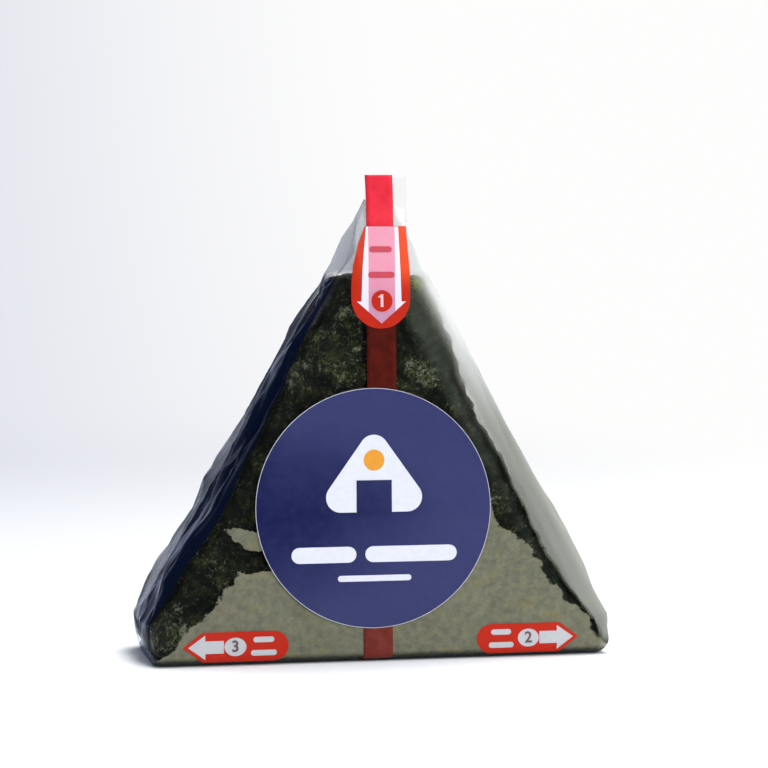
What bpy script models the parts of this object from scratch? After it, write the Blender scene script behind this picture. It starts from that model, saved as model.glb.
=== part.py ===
"""A triangular rice ball in a clear tear-open wrap, standing on its base.

Frame: +Z up, the front face towards -Y, the origin on the ground under the middle of the pack. All sizes in metres.
The film-wrapped rice ball is one solid out to its film, with the flat clear tab that stands on the film's ridge.
The tear tape runs from the top of that tab down the front, along a shallow channel under the base and up the back.
The round label lies over the tape on the front.
"""

import math

import bmesh
import bpy
from mathutils import Matrix

# Driving sizes of the wrapped rice ball
HALF_WIDTH = 0.0480
WIDEST_HEIGHT = 0.008
BASE_TUCK = 0.0031
RIGHT_TUCK = 0.0022
RIGHT_TUCK_HEIGHT = 0.0034
SIDE_LEAN = 0.0012
HALF_DEPTH = 0.0163
BASE_EDGE_RADIUS = 0.0025
SHOULDER_HEIGHT = 0.0755
SHOULDER_HALF_DEPTH = 0.0139
SHOULDER_ROUND = 0.006
UPRIGHT_EDGE_RADIUS = 0.0065

# The film drawn together above the rice
RIDGE_HEIGHT = 0.0925
RIDGE_HALF_WIDTH = 0.0034
RIDGE_Y = -0.0100
RIDGE_HALF_DEPTH = 0.0006

# The clear tab on the ridge and the tear tape
TAB_TOP = 0.0975
TAB_LEFT = -0.0036
TAB_RIGHT = 0.0060
TAB_THICKNESS = 0.0005
TAB_ROOT = 0.004
TAPE_WIDTH = 0.0060
TAPE_THICKNESS = 0.0002
GAP = 0.0003

# The round label
LABEL_RADIUS = 0.0240
LABEL_THICKNESS = 0.0003
LABEL_X = -0.0018
LABEL_HEIGHT = 0.0308
LABEL_SIDES = 96

# Fineness of the solids
CORNER_STEPS = 7
BASE_STEPS = 6
WALL_STEPS = 8
SHOULDER_STEPS = 6
TAPE_TURN_STEPS = 4

CHANNEL_DEPTH = GAP + TAPE_THICKNESS + GAP + 0.00005
CHANNEL_HALF_WIDTH = TAPE_WIDTH / 2 + 2 * GAP
TAPE_REACH_BEHIND = SHOULDER_HEIGHT - 0.001

# The pack is centred on its own box, from the label's front to the tape's back
FRONT_REACH = HALF_DEPTH + GAP + TAPE_THICKNESS + GAP + LABEL_THICKNESS
BACK_REACH = HALF_DEPTH + GAP + TAPE_THICKNESS
CENTRING = (FRONT_REACH - BACK_REACH) / 2


def between(low, high, share):
    return low + (high - low) * share


def half_width(z):
    """Half the width across the front: tucked in at the base, widest just above it, then a straight slant."""
    if z < WIDEST_HEIGHT:
        return HALF_WIDTH - BASE_TUCK * (1 - z / WIDEST_HEIGHT) ** 1.6
    share = (z - WIDEST_HEIGHT) / (RIDGE_HEIGHT - WIDEST_HEIGHT)
    return between(HALF_WIDTH, RIDGE_HALF_WIDTH, share)


def ease(value, low, high):
    share = min(max((value - low) / (high - low), 0), 1)
    return share * share * (3 - 2 * share)


def left_reach(z):
    """How far the left side lies from the middle: it draws in a little on its way up."""
    lean = ease(z, 0.012, 0.035) + ease(z, 0.058, 0.079) - 1.6 * ease(z, 0.079, 0.0905)
    return half_width(z) - SIDE_LEAN * lean


def right_reach(z):
    """How far the right side lies from the middle: it runs down almost to the ground before it rounds in."""
    if z < WIDEST_HEIGHT:
        return HALF_WIDTH - RIGHT_TUCK * max(1 - z / RIGHT_TUCK_HEIGHT, 0) ** 2
    return half_width(z)


def face_y(z, side):
    """Where the front (side -1) or back (side 1) face lies: a round lower edge, a near-upright face, then a round
    shoulder and the film's slope up to the ridge."""
    if z < BASE_EDGE_RADIUS:
        drop = BASE_EDGE_RADIUS - z
        return side * (HALF_DEPTH - BASE_EDGE_RADIUS + math.sqrt(BASE_EDGE_RADIUS**2 - drop**2))
    wall_slope = side * (SHOULDER_HALF_DEPTH - HALF_DEPTH) / (SHOULDER_HEIGHT - BASE_EDGE_RADIUS)
    film_rise = RIDGE_HEIGHT - SHOULDER_HEIGHT
    film_slope = (RIDGE_Y + side * (RIDGE_HALF_DEPTH - SHOULDER_HALF_DEPTH)) / film_rise
    above = min(z, RIDGE_HEIGHT) - SHOULDER_HEIGHT
    turned = min(max(above + SHOULDER_ROUND, 0), 2 * SHOULDER_ROUND)
    bend = turned**2 / (4 * SHOULDER_ROUND) + max(above - SHOULDER_ROUND, 0)
    return side * SHOULDER_HALF_DEPTH + wall_slope * above + (film_slope - wall_slope) * bend


def heights():
    """The levels of the sections: close together round the lower edge and the shoulder, and even between them."""
    edge = [BASE_EDGE_RADIUS * (1 - math.cos(math.pi / 2 * i / BASE_STEPS)) for i in range(BASE_STEPS + 1)]
    top_of_wall = SHOULDER_HEIGHT - SHOULDER_ROUND
    wall = [between(WIDEST_HEIGHT, top_of_wall, i / WALL_STEPS) for i in range(WALL_STEPS)]
    shoulder = [top_of_wall + 2 * SHOULDER_ROUND * i / SHOULDER_STEPS for i in range(SHOULDER_STEPS + 1)]
    return edge + wall + shoulder + [RIDGE_HEIGHT]


def section_points(z):
    """A level cut through the wrapped rice ball: a rectangle with round corners."""
    left, right = -left_reach(z), right_reach(z)
    front, back = face_y(z, -1), face_y(z, 1)
    across, centre = (right - left) / 2, (right + left) / 2
    deep, middle = (back - front) / 2, (back + front) / 2
    radius = min(UPRIGHT_EDGE_RADIUS, 0.9 * deep, 0.9 * across)
    points = []
    for corner, (sx, sy) in enumerate(((1, 1), (-1, 1), (-1, -1), (1, -1))):
        for i in range(CORNER_STEPS + 1):
            turn = math.pi / 2 * (corner + i / CORNER_STEPS)
            x = centre + sx * (across - radius) + radius * math.cos(turn)
            y = middle + sy * (deep - radius) + radius * math.sin(turn)
            points.append((x, y, z))
    return points


def object_from(name, bm, material):
    bmesh.ops.recalc_face_normals(bm, faces=bm.faces)
    mesh = bpy.data.meshes.new(name)
    bm.to_mesh(mesh)
    bm.free()
    made = bpy.data.objects.new(name, mesh)
    made.location.y = CENTRING
    bpy.context.scene.collection.objects.link(made)
    if material:
        mesh.materials.append(material)
    return made


def paint(name, colour, roughness, metallic=0.0):
    material = bpy.data.materials.new(name)
    material.use_nodes = True
    shader = material.node_tree.nodes["Principled BSDF"]
    shader.inputs["Base Color"].default_value = (*colour, 1.0)
    shader.inputs["Roughness"].default_value = roughness
    shader.inputs["Metallic"].default_value = metallic
    return material


def block(name, low, high):
    """A plain box between two corners."""
    bm = bmesh.new()
    bmesh.ops.create_cube(bm, size=1)
    size = [b - a for a, b in zip(low, high)]
    centre = [(a + b) / 2 for a, b in zip(low, high)]
    bmesh.ops.scale(bm, vec=size, verts=bm.verts)
    bmesh.ops.translate(bm, vec=centre, verts=bm.verts)
    return object_from(name, bm, None)


def helper(obj):
    """A shape that only cuts or joins another one."""
    obj.hide_render = True
    obj.display_type = "WIRE"
    return obj


def boolean(obj, other, operation):
    modifier = obj.modifiers.new(operation.title(), "BOOLEAN")
    modifier.operation = operation
    modifier.object = helper(other)


def wrapped_rice_ball():
    """The rice ball out to its film, lofted through level sections, with the clear tab and the tape's channel."""
    bm = bmesh.new()
    rings = []
    for z in heights():
        ring = [bm.verts.new(point) for point in section_points(z)]
        rings.append([bm.edges.new((ring[i - 1], ring[i])) for i in range(len(ring))])
    for lower, upper in zip(rings, rings[1:]):
        bmesh.ops.bridge_loops(bm, edges=lower + upper)
    bmesh.ops.holes_fill(bm, edges=bm.edges)
    body = object_from("film_wrapped_rice_ball", bm, paint("nori_in_film", (0.02, 0.024, 0.016), 0.35))
    tab_front = RIDGE_Y - RIDGE_HALF_DEPTH
    tab_low = (TAB_LEFT, tab_front, RIDGE_HEIGHT - TAB_ROOT)
    tab_high = (TAB_RIGHT, tab_front + TAB_THICKNESS, TAB_TOP)
    boolean(body, block("tab_to_join", tab_low, tab_high), "UNION")
    channel_low = (-CHANNEL_HALF_WIDTH, -2 * HALF_DEPTH, -HALF_DEPTH)
    channel_high = (CHANNEL_HALF_WIDTH, 2 * HALF_DEPTH, CHANNEL_DEPTH)
    boolean(body, block("channel_cutter", channel_low, channel_high), "DIFFERENCE")
    return body


def tape_line():
    """The middle line of the tape, (y, z), and its outward direction: down the front, under the base, up the back."""
    off = GAP + TAPE_THICKNESS / 2
    shoulder = [z for z in heights() if z >= SHOULDER_HEIGHT - SHOULDER_ROUND]
    front = [(RIDGE_Y - RIDGE_HALF_DEPTH - off, TAB_TOP)]
    front += [(face_y(z, -1) - off, z) for z in (*reversed(shoulder), BASE_EDGE_RADIUS)]
    reach = BASE_EDGE_RADIUS + off
    turn_at_channel = math.asin((BASE_EDGE_RADIUS - off) / reach)
    for i in range(1, TAPE_TURN_STEPS + 1):
        # round the lower edge, as far as the channel
        turn = turn_at_channel * i / TAPE_TURN_STEPS
        y = -(HALF_DEPTH - BASE_EDGE_RADIUS) - reach * math.cos(turn)
        front.append((y, BASE_EDGE_RADIUS - reach * math.sin(turn)))
    base = [(-(HALF_DEPTH - BASE_EDGE_RADIUS), off)]
    lower_edge = front[len(shoulder) + 1 :]
    back = [(-y, z) for y, z in reversed(lower_edge + base)]
    back += [lifted_off_back(z, off) for z in shoulder if z < TAPE_REACH_BEHIND]
    back.append(lifted_off_back(TAPE_REACH_BEHIND, off))
    return front + base + back


def lifted_off_back(z, off):
    """A point at a distance off behind the back face, measured square to its slope at height z."""
    step = 0.0001
    slope = (face_y(z + step, 1) - face_y(z - step, 1)) / (2 * step)
    slant = math.hypot(1, slope)
    return face_y(z, 1) + off / slant, z - off * slope / slant


def tear_tape():
    """A thin band of even width along the tape line."""
    line = tape_line()
    bm = bmesh.new()
    rows = []
    for i, (y, z) in enumerate(line):
        before, after = line[max(i - 1, 0)], line[min(i + 1, len(line) - 1)]
        along = (after[0] - before[0], after[1] - before[1])
        length = math.hypot(*along)
        out = (along[1] / length * TAPE_THICKNESS / 2, -along[0] / length * TAPE_THICKNESS / 2)
        rows.append(((y + out[0], z + out[1]), (y - out[0], z - out[1])))
    outline = [bm.verts.new((-TAPE_WIDTH / 2, *row[0])) for row in rows]
    outline += [bm.verts.new((-TAPE_WIDTH / 2, *row[1])) for row in reversed(rows)]
    side = bm.faces.new(outline)
    grown = bmesh.ops.extrude_face_region(bm, geom=[side])
    moved = [v for v in grown["geom"] if isinstance(v, bmesh.types.BMVert)]
    bmesh.ops.translate(bm, vec=(TAPE_WIDTH, 0, 0), verts=moved)
    return object_from("tear_tape", bm, paint("red_tape", (0.78, 0.03, 0.045), 0.3))


def round_label():
    """A thin disc that lies parallel to the front face, over the tape."""
    lean = math.atan((HALF_DEPTH - SHOULDER_HALF_DEPTH) / (SHOULDER_HEIGHT - BASE_EDGE_RADIUS))
    lift = GAP + TAPE_THICKNESS + GAP + LABEL_THICKNESS / 2
    bm = bmesh.new()
    bmesh.ops.create_cone(
        bm, cap_ends=True, segments=LABEL_SIDES, radius1=LABEL_RADIUS, radius2=LABEL_RADIUS, depth=LABEL_THICKNESS
    )
    upright = Matrix.Rotation(math.pi / 2 - lean, 4, "X")
    bmesh.ops.transform(bm, matrix=upright, verts=bm.verts)
    place = (LABEL_X, face_y(LABEL_HEIGHT, -1) - lift * math.cos(lean), LABEL_HEIGHT + lift * math.sin(lean))
    bmesh.ops.translate(bm, vec=place, verts=bm.verts)
    return object_from("round_label", bm, paint("navy_label", (0.022, 0.027, 0.13), 0.3))


def main():
    for obj in list(bpy.data.objects):
        bpy.data.objects.remove(obj)
    wrapped_rice_ball()
    tear_tape()
    round_label()


main()
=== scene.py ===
import math

import bmesh
import bpy
from mathutils import Matrix, Vector, noise
from mathutils.bvhtree import BVHTree


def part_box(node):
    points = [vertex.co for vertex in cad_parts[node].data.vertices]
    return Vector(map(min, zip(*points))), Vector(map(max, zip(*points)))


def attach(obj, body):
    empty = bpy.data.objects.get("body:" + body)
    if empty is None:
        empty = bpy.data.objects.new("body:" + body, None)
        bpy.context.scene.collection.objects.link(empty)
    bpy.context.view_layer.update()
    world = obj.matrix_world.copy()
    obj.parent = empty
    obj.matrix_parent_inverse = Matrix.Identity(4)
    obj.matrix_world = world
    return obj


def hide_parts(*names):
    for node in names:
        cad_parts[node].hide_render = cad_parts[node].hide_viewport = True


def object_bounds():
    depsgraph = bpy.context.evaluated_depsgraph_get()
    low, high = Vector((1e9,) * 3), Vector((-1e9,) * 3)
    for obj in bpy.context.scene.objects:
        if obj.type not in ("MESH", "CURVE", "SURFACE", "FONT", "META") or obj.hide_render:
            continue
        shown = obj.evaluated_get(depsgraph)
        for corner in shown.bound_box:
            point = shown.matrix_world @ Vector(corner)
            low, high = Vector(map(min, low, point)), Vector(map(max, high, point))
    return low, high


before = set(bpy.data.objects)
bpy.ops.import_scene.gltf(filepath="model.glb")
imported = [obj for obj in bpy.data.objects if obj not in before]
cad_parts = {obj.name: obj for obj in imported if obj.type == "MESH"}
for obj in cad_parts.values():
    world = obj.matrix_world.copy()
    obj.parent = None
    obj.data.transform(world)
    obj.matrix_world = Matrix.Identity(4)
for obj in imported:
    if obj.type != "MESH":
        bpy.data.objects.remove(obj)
cadLow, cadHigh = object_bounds()
wrapLow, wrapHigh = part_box("film_wrapped_rice_ball")
labelLow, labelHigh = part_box("round_label")
tapeLow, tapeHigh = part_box("tear_tape")
print("frame loaded")

# camera and light

stage = {
    "cameraTurn": math.radians(-12),  # seen a little from the pack's left
    "cameraDistance": 0.500,
    "cameraHeight": 0.0770,
    "aimAcross": 0.0034,
    "aimHeight": 0.0550,
    "lens": 113.9,
    "lampAim": (0, 0, 0.04),
}

lamps = {
    "softKey": {"place": (0.25, 0.12, 1.05), "size": 0.6, "power": 13.0, "colour": (1.0, 0.99, 0.97)},
    "frontFill": {"place": (0.45, -0.85, 0.75), "size": 0.8, "power": 8.5, "colour": (0.95, 0.97, 1.0)},
}


def addCamera():
    turn, away = stage["cameraTurn"], stage["cameraDistance"]
    across = Vector((math.cos(turn), math.sin(turn), 0)) * stage["aimAcross"]
    target = across + Vector((0, 0, stage["aimHeight"]))
    data = bpy.data.cameras.new("camera")
    data.lens, data.sensor_width = stage["lens"], 36
    camera = bpy.data.objects.new("camera", data)
    bpy.context.scene.collection.objects.link(camera)
    camera.location = across + Vector((math.sin(turn) * away, -math.cos(turn) * away, stage["cameraHeight"]))
    camera.rotation_euler = (target - camera.location).to_track_quat("-Z", "Y").to_euler()
    bpy.context.scene.camera = camera


def addLamp(name, place, size, power, colour):
    data = bpy.data.lights.new(name, "AREA")
    data.shape, data.size, data.energy, data.color = "SQUARE", size, power, colour
    lamp = bpy.data.objects.new(name, data)
    bpy.context.scene.collection.objects.link(lamp)
    lamp.location = place
    lamp.rotation_euler = (Vector(stage["lampAim"]) - Vector(place)).to_track_quat("-Z", "Y").to_euler()


# shader building


class Wire:
    # a socket, or a plain number, that can be used in ordinary arithmetic
    def __init__(self, finish, socket):
        self.finish, self.socket = finish, socket

    def maths(self, operation, *parts):
        made = self.finish.node("ShaderNodeMath", {"operation": operation}, dict(enumerate(parts)))
        return Wire(self.finish, made.outputs[0])

    def __add__(self, other):
        return self.maths("ADD", self, other)

    def __radd__(self, other):
        return self.maths("ADD", other, self)

    def __sub__(self, other):
        return self.maths("SUBTRACT", self, other)

    def __rsub__(self, other):
        return self.maths("SUBTRACT", other, self)

    def __mul__(self, other):
        return self.maths("MULTIPLY", self, other)

    def __rmul__(self, other):
        return self.maths("MULTIPLY", other, self)

    def __truediv__(self, other):
        return self.maths("DIVIDE", self, other)

    def __pow__(self, other):
        return self.maths("POWER", self, other)

    def __abs__(self):
        return self.maths("ABSOLUTE", self)

    def least(self, other):
        return self.maths("MINIMUM", self, other)

    def most(self, other):
        return self.maths("MAXIMUM", self, other)

    def rise(self, low, high):
        # 0 below low, 1 above high, smooth between
        values = {"Value": self, "From Min": low, "From Max": high}
        made = self.finish.node("ShaderNodeMapRange", {"interpolation_type": "SMOOTHSTEP"}, values)
        return Wire(self.finish, made.outputs[0])


class Finish:
    # one material and the nodes in it
    def __init__(self, name):
        self.material = bpy.data.materials.new(name)
        self.material.use_nodes = True
        self.tree = self.material.node_tree
        self.tree.nodes.clear()
        self.place = self.node("ShaderNodeTexCoord").outputs["Object"]
        apart = self.node("ShaderNodeSeparateXYZ", {}, {0: self.place})
        self.x, self.y, self.z = (Wire(self, out) for out in apart.outputs)

    def node(self, kind, settings=None, values=None):
        made = self.tree.nodes.new(kind)
        for key, value in (settings or {}).items():
            setattr(made, key, value)
        for key, value in (values or {}).items():
            socket = made.inputs[key]
            if isinstance(value, Wire):
                self.tree.links.new(value.socket, socket)
            elif isinstance(value, bpy.types.NodeSocket):
                self.tree.links.new(value, socket)
            elif socket.type == "RGBA":
                socket.default_value = (*value, 1)
            else:
                socket.default_value = value
        return made

    def stretched(self, scale, turn=(0, 0, 0)):
        values = {"Vector": self.place, "Scale": scale, "Rotation": turn}
        return self.node("ShaderNodeMapping", {}, values).outputs[0]

    def vector(self, operation, first, second):
        return self.node("ShaderNodeVectorMath", {"operation": operation}, {0: first, 1: second}).outputs[0]

    def cloud(self, scale, detail=4, roughness=0.5, distortion=0.0, place=None):
        values = {"Vector": place or self.place, "Scale": scale, "Detail": detail}
        values |= {"Roughness": roughness, "Distortion": distortion}
        return Wire(self, self.node("ShaderNodeTexNoise", {}, values).outputs[0])

    def strokes(self, size, turn, share, place):
        # short strokes, size across each way, of which only a share of the places holds one
        scale = tuple(1 / s for s in size)
        turned = self.node("ShaderNodeMapping", {}, {"Vector": place, "Rotation": turn}).outputs[0]
        squeezed = self.vector("MULTIPLY", turned, scale)
        cell = self.node("ShaderNodeTexVoronoi", {}, {"Vector": squeezed, "Scale": 1.0})
        chance = self.node("ShaderNodeSeparateColor", {}, {0: cell.outputs["Color"]}).outputs[0]
        body = 1 - Wire(self, cell.outputs["Distance"]).rise(0.16, 0.40)
        return body * Wire(self, chance).rise(1 - share, 1.05 - share)

    def jostled(self, scale, amount):
        # the place, shoved about so that a pattern loses its straight lines
        values = {"Vector": self.place, "Scale": scale, "Detail": 3}
        shove = self.node("ShaderNodeTexNoise", {}, values).outputs[1]
        middle = self.vector("SUBTRACT", shove, (0.5, 0.5, 0.5))
        return self.vector("ADD", self.place, self.vector("MULTIPLY", middle, (amount,) * 3))

    def blend(self, share, first, second):
        made = self.node("ShaderNodeMix", {"data_type": "RGBA"}, {0: share, 6: first, 7: second})
        return made.outputs[2]

    def bump(self, height, strength, distance):
        values = {"Height": height, "Strength": strength, "Distance": distance}
        return self.node("ShaderNodeBump", {}, values).outputs[0]

    def surface(self, colour, roughness, normal=None, specular=0.5):
        values = {"Base Color": colour, "Roughness": roughness, "Specular IOR Level": specular}
        if normal is not None:
            values["Normal"] = normal
        return self.node("ShaderNodeBsdfPrincipled", {}, values).outputs[0]

    def clear(self, colour):
        return self.node("ShaderNodeBsdfTransparent", {}, {"Color": colour}).outputs[0]

    def facing(self):
        # 0 seen square on, 1 seen along the surface
        return Wire(self, self.node("ShaderNodeLayerWeight", {}, {"Blend": 0.5}).outputs["Facing"])

    def mixShader(self, share, first, second):
        return self.node("ShaderNodeMixShader", {}, {0: share, 1: first, 2: second}).outputs[0]

    def done(self, shader):
        self.node("ShaderNodeOutputMaterial", {}, {"Surface": shader})
        return self.material


# mesh helpers


def makeObject(name, bm, materials, smooth=True):
    mesh = bpy.data.meshes.new(name)
    bm.to_mesh(mesh)
    bm.free()
    for material in materials:
        mesh.materials.append(material)
    mesh.shade_smooth() if smooth else mesh.shade_flat()
    made = bpy.data.objects.new(name, mesh)
    bpy.context.scene.collection.objects.link(made)
    return made


def between(low, high, share):
    return low + (high - low) * share


def ease(value, low, high):
    share = min(max((value - low) / (high - low), 0), 1)
    return share * share * (3 - 2 * share)


# shape of the wrapped rice ball

packShape = {
    "halfWidth": (wrapHigh.x - wrapLow.x) / 2,
    "halfDepth": (wrapHigh.y - wrapLow.y) / 2,
    "middleY": (wrapHigh.y + wrapLow.y) / 2,
    "widestHeight": 0.008,
    "baseTuck": 0.0021,
    "baseRound": 0.0025,
    "shoulderHeight": 0.0755,
    "shoulderHalfDepth": 0.0139,
    "shoulderRound": 0.006,
    "ridgeHeight": 0.0925,
    "ridgeHalfWidth": 0.0034,
    "ridgeY": -0.0100,
    "ridgeHalfDepth": 0.0006,
}


def halfWidth(z):
    p = packShape
    if z < p["widestHeight"]:
        return p["halfWidth"] - p["baseTuck"] * (1 - z / p["widestHeight"]) ** 1.6
    share = (z - p["widestHeight"]) / (p["ridgeHeight"] - p["widestHeight"])
    return between(p["halfWidth"], p["ridgeHalfWidth"], share)


def leftLean(z):
    # the left side draws in a little on its way up
    lean = 0.0012 * ease(z, 0.012, 0.035) + 0.0012 * ease(z, 0.058, 0.079) - 0.0019 * ease(z, 0.079, 0.0905)
    return lean + 0.0006 * ease(z, 0.002, 0.008) * (1 - ease(z, 0.010, 0.018))


def rightOut(z):
    # the right side bulges a third of the way up and runs down almost to the ground
    bulge = 0.0012 * ease(z, 0.002, 0.0250) * (1 - ease(z, 0.0262, 0.046))
    low = max(1 - z / packShape["widestHeight"], 0)
    foot = packShape["baseTuck"] * low**1.6
    return bulge + foot - 0.0022 * max(1 - z / 0.0034, 0) ** 2


def faceY(z, side):
    # y of the front (side -1) or back (side 1) at a height
    p = packShape
    if z < p["baseRound"]:
        drop = p["baseRound"] - z
        reach = p["halfDepth"] - p["baseRound"] + math.sqrt(p["baseRound"] ** 2 - drop**2)
        return p["middleY"] + side * reach
    wallSlope = side * (p["shoulderHalfDepth"] - p["halfDepth"]) / (p["shoulderHeight"] - p["baseRound"])
    filmRise = p["ridgeHeight"] - p["shoulderHeight"]
    filmSlope = (p["ridgeY"] + side * (p["ridgeHalfDepth"] - p["shoulderHalfDepth"])) / filmRise
    above = min(z, p["ridgeHeight"]) - p["shoulderHeight"]
    turned = min(max(above + p["shoulderRound"], 0), 2 * p["shoulderRound"])
    bend = turned**2 / (4 * p["shoulderRound"]) + max(above - p["shoulderRound"], 0)
    return p["middleY"] + side * p["shoulderHalfDepth"] + wallSlope * above + (filmSlope - wallSlope) * bend


def section(left, right, front, back, radii, counts):
    # a rectangle with round corners as (x, y, outward x, outward y), anticlockwise from the right side
    across, deep, corner = counts
    spans = ((right, back), (left, back), (left, front), (right, front))
    room = 0.49 * min(right - left, back - front)
    radius = [min(r, room) for r in radii]
    centres = []
    for (x, y), r, (sx, sy) in zip(spans, radius, ((-1, -1), (1, -1), (1, 1), (-1, 1))):
        centres.append((x + sx * r, y + sy * r))
    points = []
    for i in range(4):
        (cx, cy), r = centres[i], radius[i]
        for k in range(corner):
            turn = math.pi / 2 * (i + k / corner)
            points.append((cx + r * math.cos(turn), cy + r * math.sin(turn), math.cos(turn), math.sin(turn)))
        turn = math.pi / 2 * (i + 1)
        outX, outY = math.cos(turn), math.sin(turn)
        (nx, ny), nr = centres[(i + 1) % 4], radius[(i + 1) % 4]
        steps = across if i % 2 == 0 else deep
        start, end = (cx + r * outX, cy + r * outY), (nx + nr * outX, ny + nr * outY)
        for k in range(steps):
            share = k / steps
            points.append((between(start[0], end[0], share), between(start[1], end[1], share), outX, outY))
    return points


def loft(rings):
    # a circle is drawn up through the rings, then both ends are drawn together to a seam
    count = len(rings[0])
    bm = bmesh.new()
    bmesh.ops.create_circle(bm, segments=count, radius=1)
    bm.verts.ensure_lookup_table()
    ring = list(bm.verts)
    for vert, point in zip(ring, rings[0]):
        vert.co = point
    edges = list(bm.edges)
    for points in rings[1:]:
        grown = bmesh.ops.extrude_edge_only(bm, edges=edges)["geom"]
        edges = [g for g in grown if isinstance(g, bmesh.types.BMEdge)]
        newVerts = {g for g in grown if isinstance(g, bmesh.types.BMVert)}
        above = []
        for vert in ring:
            above.append(next(e.other_vert(vert) for e in vert.link_edges if e.other_vert(vert) in newVerts))
        edges = [e for e in edges if e.verts[0] in newVerts and e.verts[1] in newVerts]
        for vert, point in zip(above, points):
            vert.co = point
        ring = above
    bmesh.ops.remove_doubles(bm, verts=bm.verts, dist=0.00002)
    holes = [e for e in bm.edges if e.is_boundary]
    if holes:
        bmesh.ops.holes_fill(bm, edges=holes)
    bmesh.ops.recalc_face_normals(bm, faces=bm.faces)
    if bm.calc_volume(signed=True) < 0:
        bmesh.ops.reverse_faces(bm, faces=bm.faces)
    return bm


def levelList(top, step):
    p = packShape
    edge = [p["baseRound"] * (1 - math.cos(math.pi / 2 * i / 8)) for i in range(9)]
    count = round((top - p["baseRound"]) / step)
    return edge + [between(p["baseRound"], top, i / count) for i in range(1, count + 1)]


def baseRings(ring, middle, steps=10):
    # the flat base, as rings drawn in to a seam along its middle
    rings = []
    for k in range(steps):
        share = k / steps
        rings.append([(x * (0.96 + 0.04 * share), between(middle, y, share), z) for x, y, z in ring])
    return rings


# clear film

filmCare = {
    "acrossCount": 110,
    "deepCount": 44,
    "cornerCount": 34,
    "levelStep": 0.0005,
    "leftRound": 0.0068,
    "rightRound": 0.0062,
    "backRound": 0.0110,  # at the shoulder, where the film draws forward to the ridge
    "facetLong": 0.0105,
    "facetDeep": 0.0062,
    "leftFold": 0.0008,
    "rightFold": 0.0004,
    "creaseHeight": 0.0008,
    "frontFold": 0.00010,
}


def tossed(i, j, seed):
    # a settled chance value from -3 to 1 for a grid point
    return noise.cell(Vector((i * 3.7 + 0.5, j * 5.3 + 0.5, seed + 0.5))) * 2 - 1


def warp(u, v, seed, fineSeed):
    broad = noise.noise(Vector((u * 0.45, v * 0.5, seed)))
    return broad + 0.4 * noise.noise(Vector((u * 1.2, v * 1.1, fineSeed)))


def facets(u, v, seed):
    # flat facets with sharp creases between scattered heights, as in crumpled film
    warpU, warpV = warp(u, v, seed, seed + 3), warp(u, v, seed + 9, seed + 6)
    u, v = u + 0.8 * warpU + 0.6 * v, v + 0.8 * warpV
    i, j = math.floor(u), math.floor(v)
    a, b = u - i, v - j
    lasting = 1.6 * noise.noise(Vector((u * 0.8, v * 0.8, seed + 12))) - 0.1
    nearEdge = (1 - min(a, b, 1 - a, 1 - b, abs(a - b)) * 8) * min(max(lasting, 0), 1)
    if a > b:
        low, turn, high = tossed(i, j, seed), tossed(i + 1, j, seed), tossed(i + 1, j + 1, seed)
        height = low + (turn - low) * a + (high - turn) * b
    else:
        low, turn, high = tossed(i, j, seed), tossed(i, j + 1, seed), tossed(i + 1, j + 1, seed)
        height = low + (turn - low) * b + (high - turn) * a
    tone = tossed(i * 2 + (a > b), j, seed + 20)
    return height, max(nearEdge, 0), tone


def filmRelief(x, y, z, outX, outY):
    # how far the film stands proud, and how pale it is there, both from creases and folds; the paleness is
    # painted reflection on creases and facets, with a pale line along the overlap
    q = filmCare
    side = abs(outX)
    left = x < 0
    aroundCorner = math.atan2(abs(outY), side) * q["leftRound"] * math.copysign(1, y)
    v = (y + aroundCorner) / q["facetDeep"]
    fold = q["leftFold"] if left else q["rightFold"]
    height, nearEdge, tone = facets(z / q["facetLong"], v, 2 if left else 31)
    folds = side**2.5 * fold * (height + 0.25)
    fine, nearFine, _ = facets(z / q["facetLong"] * 2.3, v * 2.1, 5 if left else 37)
    folds += side**2.5 * fold * 0.3 * fine
    # painted reflection: pale along the facet edges and on some facets
    pale = side**3 * (0.60 * nearEdge + 0.25 * nearFine + 0.14 * max(tone, 0))
    # the film's overlap runs up the middle of each slanted side
    seam = y - packShape["middleY"] - 0.0016 - 0.0006 * noise.noise(Vector((7.7, 0.4, z * 60)))
    overlap = side**4 * ease(z, 0.006, 0.012) * (1 - ease(z, 0.070, 0.076))
    folds += overlap * 0.00022 * ease(seam, -0.0005, 0.0001)
    pale = max(pale, 0.55 * overlap * max(1 - abs(seam) / 0.0006, 0))
    # one long crease runs beside the left front corner, rising and dying away
    crease = 0
    if outY < 0 and left:
        turned = math.atan2(-outY, side)
        width = 0.11 + 0.08 * noise.noise(Vector((0.2, 3.3, z * 150)))
        centre = 0.24 - 0.10 * ease(z, 0.035, 0.060)
        centre += 0.15 * noise.noise(Vector((9.2, 3.3, z * 85)))
        centre += 0.10 * noise.noise(Vector((2.2, 1.3, z * 260)))
        wave = 0.75 + 0.9 * noise.noise(Vector((1.3, 0.0, z * 130)))
        crest = max(1 - abs(turned - centre) / width, 0) * min(max(wave, 0), 1)
        crease = crest * q["creaseHeight"]
        # painted reflection: the crest of this crease is pale
        pale = max(pale * ease(centre - turned, -0.1, 0.2), crest**1.2)
    calm = ease(abs(x), 0.004, 0.03)
    front = (1 - side) * q["frontFold"] * calm * noise.noise(Vector((x * 130, 5.5, z * 110)))
    fade = ease(z, 0.0, 0.006) * (1 - 0.6 * ease(z, 0.082, 0.091))
    return (folds + crease + front) * fade, min(pale * fade * ease(z, 0.002, 0.012), 1)


def frontRound(z, full):
    # the front corners are tight at the base and where the film is gathered flat at the top
    return full * min(0.32 + 0.68 * ease(z, 0, 0.012), 1 - 0.75 * ease(z, 0.074, 0.084))


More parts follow.
